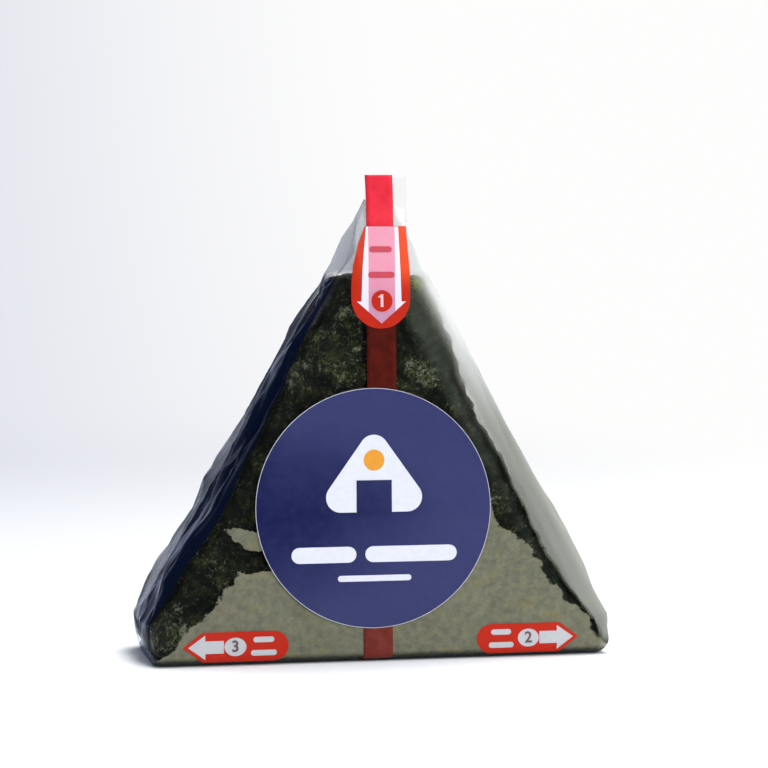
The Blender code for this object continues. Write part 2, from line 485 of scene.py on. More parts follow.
def filmMesh():
    q, p = filmCare, packShape
    counts = (q["acrossCount"], q["deepCount"], q["cornerCount"])
    rings, shares = [], {}
    for z in levelList(p["ridgeHeight"], q["levelStep"]):
        half = halfWidth(z)
        looser = ease(z, 0.02, p["shoulderHeight"])
        backRight = between(q["rightRound"], q["backRound"], looser)
        backLeft = between(q["leftRound"], q["backRound"], looser)
        frontLeft, frontRight = (frontRound(z, q[name]) for name in ("leftRound", "rightRound"))
        radii = (backRight, backLeft, frontLeft, frontRight)
        left, right = leftLean(z) - half, half + rightOut(z)
        ring = []
        for x, y, outX, outY in section(left, right, faceY(z, -1), faceY(z, 1), radii, counts):
            lift, pale = filmRelief(x, y, z, outX, outY)
            point = Vector((x + outX * lift, y + outY * lift, z))
            shares[point.copy().freeze()] = pale
            ring.append(point)
        rings.append(ring)
    top = [(x, p["middleY"] + p["ridgeY"], z + 0.0001) for x, y, z in rings[-1]]
    bm = loft(baseRings(rings[0], p["middleY"]) + rings + [top])
    # the paleness, painted reflection, is kept on each vertex for the film's colour
    layer = bm.verts.layers.float.new("hazeAndSheen")
    for vert in bm.verts:
        vert[layer] = shares.get(vert.co.copy().freeze(), 0)
    return bm


filmLook = {
    # the slanted right edge: its x at the ground, how it draws in for each step up, and its most
    "edgeFoot": 0.0521,
    "edgeSlope": 0.521,
    "edgeMost": 0.0483,
    "riceDark": (0.178, 0.181, 0.130),
    "riceLight": (0.246, 0.241, 0.160),
    "riceGold": (0.268, 0.245, 0.092),
    "riceShade": (0.118, 0.121, 0.098),
    "riceBits": (0.30, 0.27, 0.12),
    "stripInner": (0.225, 0.232, 0.196),
    "stripOuterLit": (0.335, 0.342, 0.305),
    "stripFootShade": (0.036, 0.042, 0.028),
    "glare": (0.60, 0.61, 0.58),
    "ridgeLeft": (0.235, 0.235, 0.285),
    "ridgeOuter": (0.60, 0.60, 0.63),
    "ridgeRight": (0.72, 0.73, 0.70),
    "base": (0.018, 0.019, 0.016),
    "shadeBlueFront": (0.0020, 0.0050, 0.0190),
    "shadeBlueSide": (0.010, 0.020, 0.058),
    "crease": (0.23, 0.255, 0.32),
    "clear": (0.97, 0.98, 0.98),
    "sheen": (0.62, 0.70, 0.88),
}


def filmFinish():
    f, c = Finish("clearFilm"), filmLook
    ragged = f.cloud(190, 6, 0.65) - 0.5
    broad = f.cloud(55, 2) - 0.5
    mottle = f.cloud(620, 6, 0.7)
    # air trapped low between both bottom corners stays hazy, with a ragged border
    leftLine = (f.x + 0.0482 - f.z.rise(0, 0.0045) * 0.0030) * 1.15 - f.z
    rightLine = (0.0481 - f.x) * 1.19 - f.z
    across, up = (f.x + 0.0262) / 0.0050, (f.z - 0.0212) / 0.0031
    tongue = (1.0 - (across * across + up * up) + ragged * 2.2).rise(0, 0.12)
    stray = (ragged * 0.012 + broad * 0.010) * (0.3 + f.z.rise(0, 0.012) * 0.7)
    air = (leftLine.least(rightLine) + stray).rise(0, 0.0008) * (1 - tongue)
    across, up = (f.x + 0.0268) / 0.0042, (f.z + f.x * 0.30 - 0.0170) / 0.0018
    patch = (1.0 - (across * across + up * up) + ragged * 5.0).rise(0, 0.12)
    haze = air.most(patch) * (0.80 + (mottle - 0.5) * 0.4)
    # the film grows hazy towards the right edge, where it stands off the nori
    edge = (c["edgeFoot"] - f.z * c["edgeSlope"]).least(c["edgeMost"])
    border = f.z.rise(-0.004, 0.016) * f.z.rise(0.0010, 0.0032) * 0.0044
    border = border * (1 - f.z.rise(0.048, 0.075) * 0.85) + 0.0005
    softer = f.z.rise(0.030, 0.052) * 0.0010
    inside = 0.0008 + f.z.rise(0.004, 0.020) * 0.0016
    past = f.x - edge + border + inside + softer + ragged * 0.002 + broad * 0.004
    edgeward = past.rise(0, 0.0014 + softer)
    behind = (f.y + ragged * 0.010 + broad * 0.012).rise(-0.0055, 0.0025) * (1 - f.y.rise(0.0090, 0.0130))
    hazeAndSheen = edgeward * (0.93 - f.z.rise(0.035, 0.070) * 0.25) * (1 - behind * 0.72)
    haze = haze.most(hazeAndSheen)
    tint = f.blend(mottle.rise(0.30, 0.74), c["riceDark"], c["riceLight"])
    level = f.stretched((1, 1, 2.4), (0, 0.15, 0))
    tint = f.blend(f.cloud(200, 8, 0.75, place=level).rise(0.50, 0.68) * 0.6, tint, c["riceGold"])
    tint = f.blend(f.cloud(130, 7, 0.72, place=level).rise(0.52, 0.68) * 0.4, tint, c["riceShade"])
    bits = f.strokes((0.0018, 0.0008, 0.0005), (0, 0.4, 0.2), 0.30, f.jostled(500, 0.0012))
    tint = f.blend(bits * 0.35, tint, c["riceBits"])
    # painted highlight: the strip grows lighter towards its outer edge, where the rounded film catches the
    # light
    outermost = (f.x - edge + 0.0034).rise(0, 0.0044)
    strip = f.blend(outermost, c["stripInner"], c["stripOuterLit"])
    # painted contact shade: the strip is dark at its foot, near the ground
    strip = f.blend(f.z.rise(0.0020, 0.0044), c["stripFootShade"], strip)
    tint = f.blend(edgeward, tint, strip)
    glare = (f.x - edge + 0.0080).rise(0, 0.0068) * f.z.rise(0.044, 0.066)
    glare = glare * (1 - (f.y + 0.0095).rise(0, 0.003))
    haze = haze.most(glare * 0.90)
    tint = f.blend(glare, tint, c["glare"])
    # the gathered ridge is grey on the left and almost clear on the right
    rightOfTape = f.x.rise(-0.002, 0.003)
    above = f.z.rise(0.0768, 0.0790)
    outer = 1 - (f.x + edge - 0.0010).rise(0, 0.0075)
    leftTint = f.blend(outer.most(f.z.rise(0.082, 0.091)), c["ridgeLeft"], c["ridgeOuter"])
    haze = haze.most(above * (0.55 - rightOfTape * 0.45))
    # painted contact shade: the film is darkened in its lowest two millimetres, at the ground
    tint = f.blend(f.z.rise(0.0006, 0.0022), c["base"], tint)
    pale = f.blend(above, tint, f.blend(rightOfTape, leftTint, c["ridgeRight"]))
    # the rounded left corner is painted as one dark blue band, standing for the shade there and the blue
    # light it reflects, with pale creases beyond it
    reach = 0.0022 + f.z.rise(0.008, 0.035) * 0.0030 - f.z.rise(0.048, 0.072) * 0.0016
    lean = f.z.rise(0.012, 0.035) * 0.0012 + f.z.rise(0.058, 0.079) * 0.0012
    fromEdge = f.x + edge - lean
    inward = fromEdge * 1.3 - reach + lean + broad * 0.005 * fromEdge.rise(0, 0.002)
    leftward = 1 - inward.rise(-0.0003, 0.0004)
    beyond = (f.y + broad * 0.012).rise(-0.0060, 0.0090)
    # navy is the share of this painted shade band
    navy = leftward * (1 - f.z.rise(0.076, 0.079)) * f.z.rise(0.0, 0.004)
    navy = navy * (0.94 - beyond * 0.16) * (1 - f.y.rise(0.0090, 0.0140) * 0.8)
    blue = f.blend(beyond, c["shadeBlueFront"], c["shadeBlueSide"])
    pale = f.blend(navy.rise(0.02, 0.30), pale, blue)
    haze = haze.most(navy)
    # painted reflection: the pale marks on creases and facets, read from the film's vertices
    hazeAndSheen = Wire(f, f.node("ShaderNodeAttribute", {"attribute_name": "hazeAndSheen"}).outputs["Fac"])
    hazeAndSheen = (hazeAndSheen * (0.75 + (f.cloud(150, 2) - 0.5) * 1.2)).rise(0.18, 0.85) * 0.75
    pale = f.blend(hazeAndSheen, pale, c["crease"])
    haze = haze.most(hazeAndSheen)
    body = f.mixShader(haze, f.clear(c["clear"]), f.surface(pale, 0.45, specular=0.04))
    wrinkle = f.bump(f.cloud(110, 2) + f.cloud(45, 1) * 2, 0.12, 0.0004)
    values = {"Color": c["sheen"], "Roughness": 0.07, "Normal": wrinkle}
    gloss = f.node("ShaderNodeBsdfGlossy", {}, values).outputs[0]
    return f.done(f.mixShader((f.facing() ** 9) * 0.80, body, gloss))


# toasted nori round the rice

noriCare = {
    "acrossCount": 150,
    "deepCount": 44,
    "cornerCount": 14,
    "levelStep": 0.00058,
    "top": 0.0774,
    "domeHeight": 0.0016,
    "domeSteps": 16,
    "torn": 0.0011,  # how ragged the nori's top edge is
    "round": 0.0062,
    "leftInset": 0.0012,
    "gap": 0.00080,
    "relief": 0.00030,
    "room": 0.00030,  # the least space left between nori and film
}


def rightInset(z):
    # on the right the film stands off the nori, most of all a third of the way up
    return 0.0044 * ease(z, -0.004, 0.016) * ease(z, 0.0010, 0.0032) * (1 - 0.85 * ease(z, 0.048, 0.075))


def noriRelief(x, y, z):
    place = Vector((x, y, z))
    coarse = noise.fractal(place * 230, 0.7, 2.1, 2)
    fine = abs(noise.noise(place * 480)) - 0.25
    return noriCare["relief"] * (coarse + 0.7 * fine)


def noriMesh():
    q = noriCare
    counts = (q["acrossCount"], q["deepCount"], q["cornerCount"])
    rings = []
    domeStart = q["top"] - q["domeHeight"]

    def ringAt(z, shrink):
        half, middle = halfWidth(z), (faceY(z, -1) + faceY(z, 1)) / 2
        ragged = 0.0009 * noise.fractal(Vector((4.0, 0.0, z * 260)), 0.8, 2.0, 3)
        left = (leftLean(z) - half + q["gap"] + q["leftInset"] * ease(z, 0.002, 0.020)) * shrink
        right = half + rightOut(z) - q["gap"] * (0.4 + 0.6 * ease(z, 0.006, 0.016))
        right = (right - rightInset(z) + ragged * ease(z, 0.006, 0.02)) * shrink
        front = middle + (faceY(z, -1) + q["gap"] - middle) * shrink
        back = middle + (faceY(z, 1) - q["gap"] - middle) * shrink
        radii = [q["round"] * (0.4 + 0.6 * ease(z, 0, 0.012)) * shrink] * 4
        ring = []
        for x, y, outX, outY in section(left, right, front, back, radii, counts):
            lift = noriRelief(x, y, z) - 0.0002
            tear = noise.fractal(Vector((x * 420, 2.0 + outY, 0.3)), 0.7, 2.0, 3)
            torn = q["torn"] * tear * ease(z, 0.070, domeStart)
            ring.append((x + outX * lift, y + outY * lift, z + 0.0005 + torn * abs(outY)))
        return ring

    for z in levelList(domeStart, q["levelStep"]):
        rings.append(ringAt(z, 1.0))
    base = rings[0]
    for k in range(1, q["domeSteps"] + 1):
        turn = math.pi / 2 * k / q["domeSteps"]
        ring = ringAt(domeStart, max(math.cos(turn), 0.0) * 0.999 + 0.001)
        lift = q["domeHeight"] * math.sin(turn)
        rings.append([(x, y, z + lift + noriRelief(x, y, z + 1) * math.sin(turn)) for x, y, z in ring])
    return loft(baseRings(base, packShape["middleY"]) + rings)


def keepInside(bm, tree, room):
    # draws in what would come nearer to the film than room
    for vert in bm.verts:
        near, normal, _, _ = tree.find_nearest(vert.co)
        if (vert.co - near).dot(normal) > -room:
            vert.co = near - normal * room
    return bm


noriLook = {
    "dark": (0.0016, 0.0024, 0.0016),
    "light": (0.0105, 0.0145, 0.0062),
    "fleck": (0.040, 0.044, 0.0140),
    "paleFleck": (0.120, 0.125, 0.045),
    "glint": (0.26, 0.28, 0.20),
    "backlit": (0.55, 0.60, 0.060),
    "veilDark": (0.030, 0.036, 0.027),
    "veilLight": (0.056, 0.063, 0.046),
}


def noriFinish():
    f, c = Finish("toastedNori"), noriLook
    loose = f.jostled(700, 0.0016)
    patch = f.cloud(210, 9, 0.78, 0.6)
    fleck = f.cloud(620, 7, 0.8, 1.4, loose)
    glint = f.cloud(430, 8, 0.85, 2.0, loose)
    where = f.cloud(95, 4, 0.7)
    colour = f.blend(patch.rise(0.44, 0.60), c["dark"], c["light"])
    colour = f.blend((patch * 0.5 + fleck * 0.5).rise(0.50, 0.60), colour, c["fleck"])
    colour = f.blend((fleck * 0.7 + where * 0.3).rise(0.535, 0.60) * 0.9, colour, c["paleFleck"])
    colour = f.blend((glint * 0.65 + where * 0.35).rise(0.55, 0.605) * 0.85, colour, c["glint"])
    backlit = f.z.rise(0.0735, 0.0765) * f.x.rise(0.0055, 0.0075) * (1 - f.x.rise(0.0095, 0.012))
    backlit = backlit * (1 - f.y.rise(-0.0060, 0.0))
    colour = f.blend(backlit * fleck.rise(0.42, 0.52), colour, c["backlit"])
    # on the right the flecks are softened by the film, which stands off them
    veiled = (f.x - 0.0396 + f.z * filmLook["edgeSlope"]).rise(0, 0.0035)
    veiled = veiled * (0.32 + f.z.rise(0.028, 0.046) * 0.48)
    veiled = veiled * (1 - f.y.rise(-0.009, -0.005)) * (1 - backlit)
    veil = f.blend(patch.rise(0.35, 0.65), c["veilDark"], c["veilLight"])
    colour = f.blend(veiled, colour, veil)
    height = (patch * 1.4 + fleck * 0.8) * (1 - veiled * 0.8)
    return f.done(f.surface(colour, 0.55, f.bump(height, 0.9, 0.0009), specular=0.12))


# prints, tape and label lie on the film

printCare = {
    "cell": 0.0005,
    "thickness": 0.00003,
}


def cutIntoCells(bm, size, low, high):
    # a flat shape in the plane of x and z is cut into small cells so that it can bend
    for axis in (0, 2):
        steps = int((high[axis] - low[axis]) / size) + 1
        for i in range(1, steps):
            point, normal = Vector(), Vector()
            point[axis] = low[axis] + size * i
            normal[axis] = 1
            geom = list(bm.verts) + list(bm.edges) + list(bm.faces)
            bmesh.ops.bisect_plane(bm, geom=geom, dist=1e-7, plane_co=point, plane_no=normal)


def flatBounds(bm):
    xs, zs = [v.co.x for v in bm.verts], [v.co.z for v in bm.verts]
    return (min(xs), 0, min(zs)), (max(xs), 0, max(zs))


def flatShape(points):
    # a flat outline, (x, z) each, facing the front
    bm = bmesh.new()
    verts = [bm.verts.new((x, 0, z)) for x, z in points]
    face = bm.faces.new(verts)
    face.normal_update()
    if face.normal.y > 0:
        bmesh.ops.reverse_faces(bm, faces=[face])
    return bm


def roundShape(x, z, radiusX, radiusZ, segments=48):
    bm = bmesh.new()
    bmesh.ops.create_circle(bm, cap_ends=True, segments=segments, radius=1)
    bmesh.ops.scale(bm, vec=(radiusX, radiusZ, 1), verts=bm.verts)
    bmesh.ops.rotate(bm, matrix=Matrix.Rotation(math.pi / 2, 3, "X"), verts=bm.verts)
    bmesh.ops.translate(bm, vec=(x, 0, z), verts=bm.verts)
    return bm


def digitShape(text, x, z, height):
    curve = bpy.data.curves.new("digit", "FONT")
    curve.body, curve.size, curve.align_x, curve.align_y = text, height / 0.7, "CENTER", "CENTER"
    curve.resolution_u, curve.offset = 6, height * 0.03
    holder = bpy.data.objects.new("digit", curve)
    bm = bmesh.new()
    mesh = bpy.data.meshes.new_from_object(holder)
    bm.from_mesh(mesh)
    bpy.data.objects.remove(holder)
    bpy.data.curves.remove(curve)
    bpy.data.meshes.remove(mesh)
    bmesh.ops.rotate(bm, matrix=Matrix.Rotation(math.pi / 2, 3, "X"), verts=bm.verts)
    bmesh.ops.translate(bm, vec=(x, 0, z), verts=bm.verts)
    return bm


def onFront(tree, x, z):
    # the film's front at (x, z), as its place and the way out of it
    return tree.ray_cast(Vector((x, -0.08, z)), Vector((0, 1, 0)))[:2]


def pressOnFilm(bm, tree, lift):
    cutIntoCells(bm, printCare["cell"], *flatBounds(bm))
    for vert in bm.verts:
        hit, normal = onFront(tree, vert.co.x, vert.co.z)
        if hit is None:
            hit, normal, _, _ = tree.find_nearest(Vector((vert.co.x, -0.012, vert.co.z)))
        vert.co = hit + normal * lift
    return bm


def sheetGrid(columns, rowCount):
    # a grid, and its vertices row by row as (vertex, row, column)
    bm = bmesh.new()
    grid = bmesh.ops.create_grid(bm, x_segments=columns, y_segments=rowCount, size=0.5)
    verts = sorted(grid["verts"], key=lambda v: (round(v.co.y, 6), v.co.x))
    return bm, [(vert, *divmod(i, columns + 1)) for i, vert in enumerate(verts)]


def thicken(bm, thickness):
    # gives a sheet its thickness behind its front face and closes its rim
    bmesh.ops.recalc_face_normals(bm, faces=bm.faces)
    if sum(f.normal.y * f.calc_area() for f in bm.faces) > 0:
        bmesh.ops.reverse_faces(bm, faces=bm.faces)
    bmesh.ops.solidify(bm, geom=list(bm.faces), thickness=thickness)
    bmesh.ops.recalc_face_normals(bm, faces=bm.faces)
    return bm


def gather(parts):
    # joins several bmeshes, each with its material number
    whole = bmesh.new()
    for number, bm in parts:
        for face in bm.faces:
            face.material_index = number
        mesh = bpy.data.meshes.new("part")
        bm.to_mesh(mesh)
        bm.free()
        whole.from_mesh(mesh)
        bpy.data.meshes.remove(mesh)
    return whole


def arc(cx, cz, radiusX, radiusZ, start, end, steps):
    points = []
    for i in range(steps + 1):
        turn = math.radians(between(start, end, i / steps))
        points.append((cx + radiusX * math.cos(turn), cz + radiusZ * math.sin(turn)))
    return points


def bar(x, z, width, height):
    # a bar with round ends, x and z at its middle
    r = height / 2
    reach = width / 2 - r
    return flatShape(arc(x + reach, z, r, r, -90, 90, 8) + arc(x - reach, z, r, r, 90, 270, 8))


def tapeWhiteFinish():
    # white ink that lets the red tape behind it show as pink
    f = Finish("whiteOverTape")
    shade = f.cloud(500, 4, 0.6)
    # painted light: the pink is brighter above the nori, where light comes through from behind
    pink = f.blend(f.z.rise(0.068, 0.080), (0.55, 0.26, 0.38), (0.78, 0.25, 0.36))
    pink = f.blend(shade.rise(0.3, 0.7) * 0.12, pink, (0.75, 0.45, 0.54))
    band = 1 - abs(f.x - 0.0001 - f.z.rise(0.072, 0.088) * 0.0003).rise(0.00265, 0.00280)
    colour = f.blend(band, (0.80, 0.74, 0.80), pink)
    return f.done(f.surface(colour, 0.3, f.bump(f.cloud(150, 2), 0.15, 0.0003)))


def inkFinish(name, colour):
    f = Finish(name)
    shade = f.cloud(900, 3)
    deep = tuple(c * 0.86 for c in colour)
    normal = f.bump(f.cloud(150, 2), 0.15, 0.0003)
    return f.done(f.surface(f.blend(shade, deep, colour), 0.3, normal, specular=0.12))


def panelRedFinish():
    # brighter above the nori, where light comes through the film
    f = Finish("redInk")
    shade = f.cloud(900, 3)
    through = f.z.rise(0.0740, 0.0790) * (0.35 + f.x.rise(0.0, 0.0045) * 0.65)
    colour = f.blend(through, (0.53, 0.022, 0.008), (0.86, 0.075, 0.014))
    colour = f.blend(shade * 0.14, colour, (0.30, 0.012, 0.006))
    normal = f.bump(f.cloud(150, 2), 0.15, 0.0003)
    return f.done(f.surface(colour, 0.3, normal, specular=0.12))


topPanel = {
    "cutHeight": 0.0872,
    "middle": -0.0001,
    "round": 0.0060,
    "bottom": 0.0667,
    "shaft": 0.0041,
    "head": 0.0050,
    "headHeight": 0.0721,
    "tip": 0.0677,
    "disc": 0.00215,
    "discHeight": 0.0722,
    "lifts": (0.00020, 0.00030, 0.00038, 0.00045),  # red, arrow, disc and bars, digit
}


def topPanelParts(tree):
    # materials: 0 red, 2 pink-red bars, 4 white over the tape, 5 pale pink digit
    t = topPanel
    onFilm, onRed, onArrow, onDisc = t["lifts"]
    centre = t["bottom"] + t["round"]
    cut, head = t["cutHeight"], t["headHeight"]
    left = [(-0.0060, centre + 0.0022), (-0.0055, centre + 0.0065)]
    left += [(-0.0044, centre + 0.0110), (-0.0029, cut)]
    right = [(0.0055, cut), (0.0057, centre + 0.0100), (0.0060, centre + 0.0045)]
    outline = arc(t["middle"], centre, t["round"], t["round"], 180, 360, 24)[::-1] + left + right
    red = flatShape(outline)
    arrow = [(-0.0027, cut - 0.0001), (-0.0037, head + 0.007), (-t["shaft"], head), (-t["head"], head)]
    arrow += [(0, t["tip"]), (t["head"], head), (t["shaft"], head), (0.0039, cut - 0.0001)]
    parts = [(0, pressOnFilm(red, tree, onFilm)), (4, pressOnFilm(flatShape(arrow), tree, onRed))]
    disc = roundShape(0.0001, t["discHeight"], t["disc"], t["disc"])
    parts.append((0, pressOnFilm(disc, tree, onArrow)))
    one = [(-0.0002, -0.0012), (0.00035, -0.0012), (0.00035, 0.0013)]
    one += [(-0.0001, 0.0013), (-0.0008, 0.0007), (-0.0002, 0.0007)]
    digit = flatShape([(x, t["discHeight"] + up) for x, up in one])
    parts.append((5, pressOnFilm(digit, tree, onDisc)))
    for height, width in ((0.0825, 0.0046), (0.0774, 0.0054)):
        parts.append((2, pressOnFilm(bar(0.0001, height, width, 0.0012), tree, onArrow)))
    return parts


cornerPanel = {
    "height": 0.0059,
    "middleHeight": 0.0039,
    "tip": 0.0405,
    "point": 0.0040,
    "blunt": 0.0193,
    "arrowTip": 0.0394,
    "arrowHead": 0.0360,
    "arrowEnd": 0.0323,
    "disc": 0.0300,
    "bars": 0.0243,
    "lifts": (0.00014, 0.00020, 0.00026),  # red, white, digit
}


def cornerPanelParts(tree, side, digit):
    # materials: 0 red, 1 white, 3 digit grey
    c = cornerPanel
    half, z = c["height"] / 2, c["middleHeight"]

    def there(points):
        return [(side * x, height) for x, height in points]

    outline = [(c["tip"], z), (c["tip"] - c["point"], z + half)]
    outline += arc(c["blunt"] + half, z, half, half, 90, 270, 14)
    outline += [(c["tip"] - c["point"], z - half)]
    head, end = c["arrowHead"], c["arrowEnd"]
    arrow = [(c["arrowTip"], z), (head, z + 0.0024), (head, z + 0.00125), (end, z + 0.00125)]
    arrow += [(end, z - 0.00125), (head, z - 0.00125), (head, z - 0.0024)]
    onFilm, onRed, onDisc = c["lifts"]
    parts = [(0, pressOnFilm(flatShape(there(outline)), tree, onFilm))]
    parts.append((1, pressOnFilm(flatShape(there(arrow)), tree, onRed)))
    parts.append((1, pressOnFilm(roundShape(side * c["disc"], z, 0.0022, 0.0018), tree, onRed)))
    parts.append((3, pressOnFilm(digitShape(digit, side * c["disc"], z, 0.0022), tree, onDisc)))
    for up, width in ((0.0013, 0.0042), (-0.0013, 0.0052)):
        parts.append((1, pressOnFilm(bar(side * c["bars"], z + up, width, 0.0011), tree, onRed)))
    return parts


tapeCare = {
    "half": (tapeHigh.x - tapeLow.x) / 2,
    "lean": 0.0011,  # to the left, low down
    "frontTop": 0.0868,
    "backTop": 0.0745,
    "frontSteps": 120,
    "baseSteps": 20,
    "backSteps": 114,
    "columns": 8,
    "lift": 0.0001,
    "leastHeight": 0.00007,
    "thickness": 0.00006,
}


def tapeLine():
    # the tape's middle as (y, z): down the front, under the base and up the back
    t, p = tapeCare, packShape
    line = []
    for i in range(t["frontSteps"] + 1):
        z = between(t["frontTop"], 0.0, i / t["frontSteps"])
        line.append((faceY(z, -1), z))
    edgeY = p["halfDepth"] - p["baseRound"]
    for i in range(1, t["baseSteps"]):
        line.append((p["middleY"] + between(-edgeY, edgeY, i / t["baseSteps"]), 0.0))
    for i in range(t["backSteps"] + 1):
        z = between(0.0, t["backTop"], i / t["backSteps"])
        line.append((faceY(z, 1), z))
    return line


def tapeMesh(tree):
    # a band that lies on the front, base and back
    t = tapeCare
    line = tapeLine()
    bm, cells = sheetGrid(t["columns"], len(line) - 1)
    for vert, row, column in cells:
        before, after = line[max(row - 2, 0)], line[min(row + 2, len(line) - 1)]
        along = Vector((0, after[0] - before[0], after[1] - before[1])).normalized()
        out = Vector((0, along.z, -along.y))
        centre = Vector((0, *line[row]))
        lean = t["lean"] * (1 - ease(centre.z, 0.010, 0.062))
        x = between(-t["half"], t["half"], column / t["columns"]) - lean
        vert.co = centre + out * t["lift"] + Vector((x, 0, 0))
        vert.co.z = max(vert.co.z, t["leastHeight"])
        if out.y < -0.5 and centre.z > 0.004:
            hit, normal = onFront(tree, x, centre.z)
            vert.co = hit + normal * t["lift"]
    return thicken(bm, t["thickness"])


tabCare = {
    "low": 0.0870,
    "rows": 20,
    "thickness": 0.00008,
    "clearLeft": -0.0027,
    "clearRight": 0.0060,
}


def tabMesh():
    # the free end of the tape, a little narrower and leaning left
    t, columns = tabCare, 6
    bm, cells = sheetGrid(columns, t["rows"])
    for vert, row, column in cells:
        up, across = row / t["rows"], between(-1, 1, column / columns)
        z = between(t["low"], cadHigh.z, up)
        x = 0.0002 - 0.0003 * up + across * between(0.00275, 0.0027, up)
        y = faceY(min(z, 0.0880), -1) - 0.00012 - 0.0006 * up * across - 0.0004 * math.sin(up * 3.0)
        vert.co = (x, y, z)
    return thicken(bm, t["thickness"])


def clearTabMesh():
    # the clear tab that stands on the ridge behind the free end
    t, columns = tabCare, 10
    bm, cells = sheetGrid(columns, t["rows"])
    for vert, row, column in cells:
        up, share = row / t["rows"], column / columns
        z = between(t["low"], cadHigh.z - 0.0001, up)
        x = between(t["clearLeft"], t["clearRight"], share)
        y = faceY(min(z, 0.0910), -1) + 0.0005 + 0.0007 * up * math.sin(share * 2.6)
        vert.co = (x, y, z)
    return thicken(bm, t["thickness"])


def tapeFinish():
    f = Finish("redTape")
    shade = f.cloud(420, 5, 0.6)
    # painted light: the tape is dark red over the nori, paler over the low haze, and bright red above the
    # nori, where light comes through the film behind it
    low = (0.0075 - f.z).rise(0, 0.001)
    overNori = f.blend(shade.rise(0.35, 0.65), (0.062, 0.0040, 0.0010), (0.094, 0.007, 0.002))
    overHaze = f.blend(shade.rise(0.35, 0.65), (0.140, 0.018, 0.010), (0.190, 0.026, 0.016))
    colour = f.blend(low, overNori, overHaze)
    free = f.z.rise(0.0765, 0.0785)
    bright = f.blend(shade.rise(0.3, 0.7), (0.78, 0.026, 0.045), (0.90, 0.036, 0.062))
    colour = f.blend(free, colour, bright)
    return f.done(f.surface(colour, 0.22, f.bump(f.cloud(120, 2), 0.2, 0.0004), specular=0.15))


def plainClearFinish():
    f = Finish("clearTab")
    hazeAndSheen = f.surface((0.75, 0.76, 0.77), 0.3)
    body = f.mixShader(0.01 + f.cloud(300, 2) * 0.04, f.clear((0.99, 0.99, 0.99)), hazeAndSheen)
    gloss = f.node("ShaderNodeBsdfGlossy", {}, {"Color": (1, 1, 1), "Roughness": 0.08}).outputs[0]
    return f.done(f.mixShader(0.02 + (f.facing() ** 5) * 0.6, body, gloss))


labelCare = {
    "radius": (labelHigh.x - labelLow.x) / 2,
    "x": (labelHigh.x + labelLow.x) / 2,
    "z": (labelHigh.z + labelLow.z) / 2,
    "lift": 0.00038,
    "thickness": 0.00012,
    "rim": 0.00010,
    "cell": 0.0015,
    "lifts": (0.00004, 0.00008, 0.00012),  # navy disc, white print, print on the white
    "motifUp": 0.0062,
    "cornerRound": 0.0030,
}


def labelWave(x, z):
    return 0.00016 * noise.noise(Vector((x * 75, 2.2, z * 75)))


def pressOnLabel(bm, lift):
    cutIntoCells(bm, labelCare["cell"], *flatBounds(bm))
    for vert in bm.verts:
        x, z = vert.co.x, vert.co.z
        vert.co = (x, faceY(z, -1) - labelCare["lift"] - lift - labelWave(x, z), z)
    return bm


def labelFinish():
    f = Finish("labelPaper")
    sheen = f.cloud(38, 2, 0.5) * 0.5 + abs(f.z - 0.030) * 14 + (f.x + 0.012) * 10
    colour = f.blend(sheen.rise(0.10, 0.60), (0.0030, 0.0065, 0.062), (0.036, 0.041, 0.132))
    fine = f.cloud(500, 3)
    colour = f.blend(fine.rise(0.3, 0.8) * 0.10, colour, (0.07, 0.075, 0.2))
    normal = f.bump(f.cloud(55, 2) * 3 + fine * 0.05, 0.25, 0.0006)
    return f.done(f.surface(colour, 0.24, normal, specular=0.14))


def labelParts():
    # materials: 0 navy, 1 white, 2 orange
    c = labelCare
    onPaper, onNavy, onWhite = c["lifts"]
    inner = c["radius"] - c["rim"]
    disc = pressOnLabel(roundShape(c["x"], c["z"], inner, inner, 128), onPaper)
    rim = pressOnLabel(roundShape(c["x"], c["z"], c["radius"], c["radius"], 128), 0.0)
    parts = [(0, disc), (1, rim)]
    x, z, r = c["x"], c["z"] + c["motifUp"], c["cornerRound"]
    # a plain rice ball: a pale rounded triangle, a dark band and an orange filling
    outline = arc(x, z + 0.0085 - r, r, r, 30, 150, 10)
    outline += arc(x - 0.0098 + r, z - 0.0070 + r, r, r, 150, 270, 10)
    outline += arc(x + 0.0098 - r, z - 0.0070 + r, r, r, -90, 30, 10)
    parts.append((1, pressOnLabel(flatShape(outline), onNavy)))
    band = [(x + across, z + up) for across, up in ((-0.0036, -0.0071), (0.0036, -0.0071))]
    band += [(x + across, z + up) for across, up in ((0.0036, -0.0006), (-0.0036, -0.0006))]
    parts.append((0, pressOnLabel(flatShape(band), onWhite)))
    parts.append((2, pressOnLabel(roundShape(x, z + 0.0034, 0.0021, 0.0021), onWhite)))
    bars = ((-0.0103, 0.0092, 0.0132, 0.0032), (0.0075, 0.0092, 0.0188, 0.0032), (0, 0.0140, 0.0150, 0.0012))
    for across, down, width, height in bars:
        parts.append((1, pressOnLabel(bar(x + across, c["z"] - down, width, height), onNavy)))
    return parts


# floor and light


backdrop = {
    "reach": 1.6,
    "wallY": 1.3,
    "wallHeight": 1.6,
    "bend": 0.5,
    "steps": 24,
}


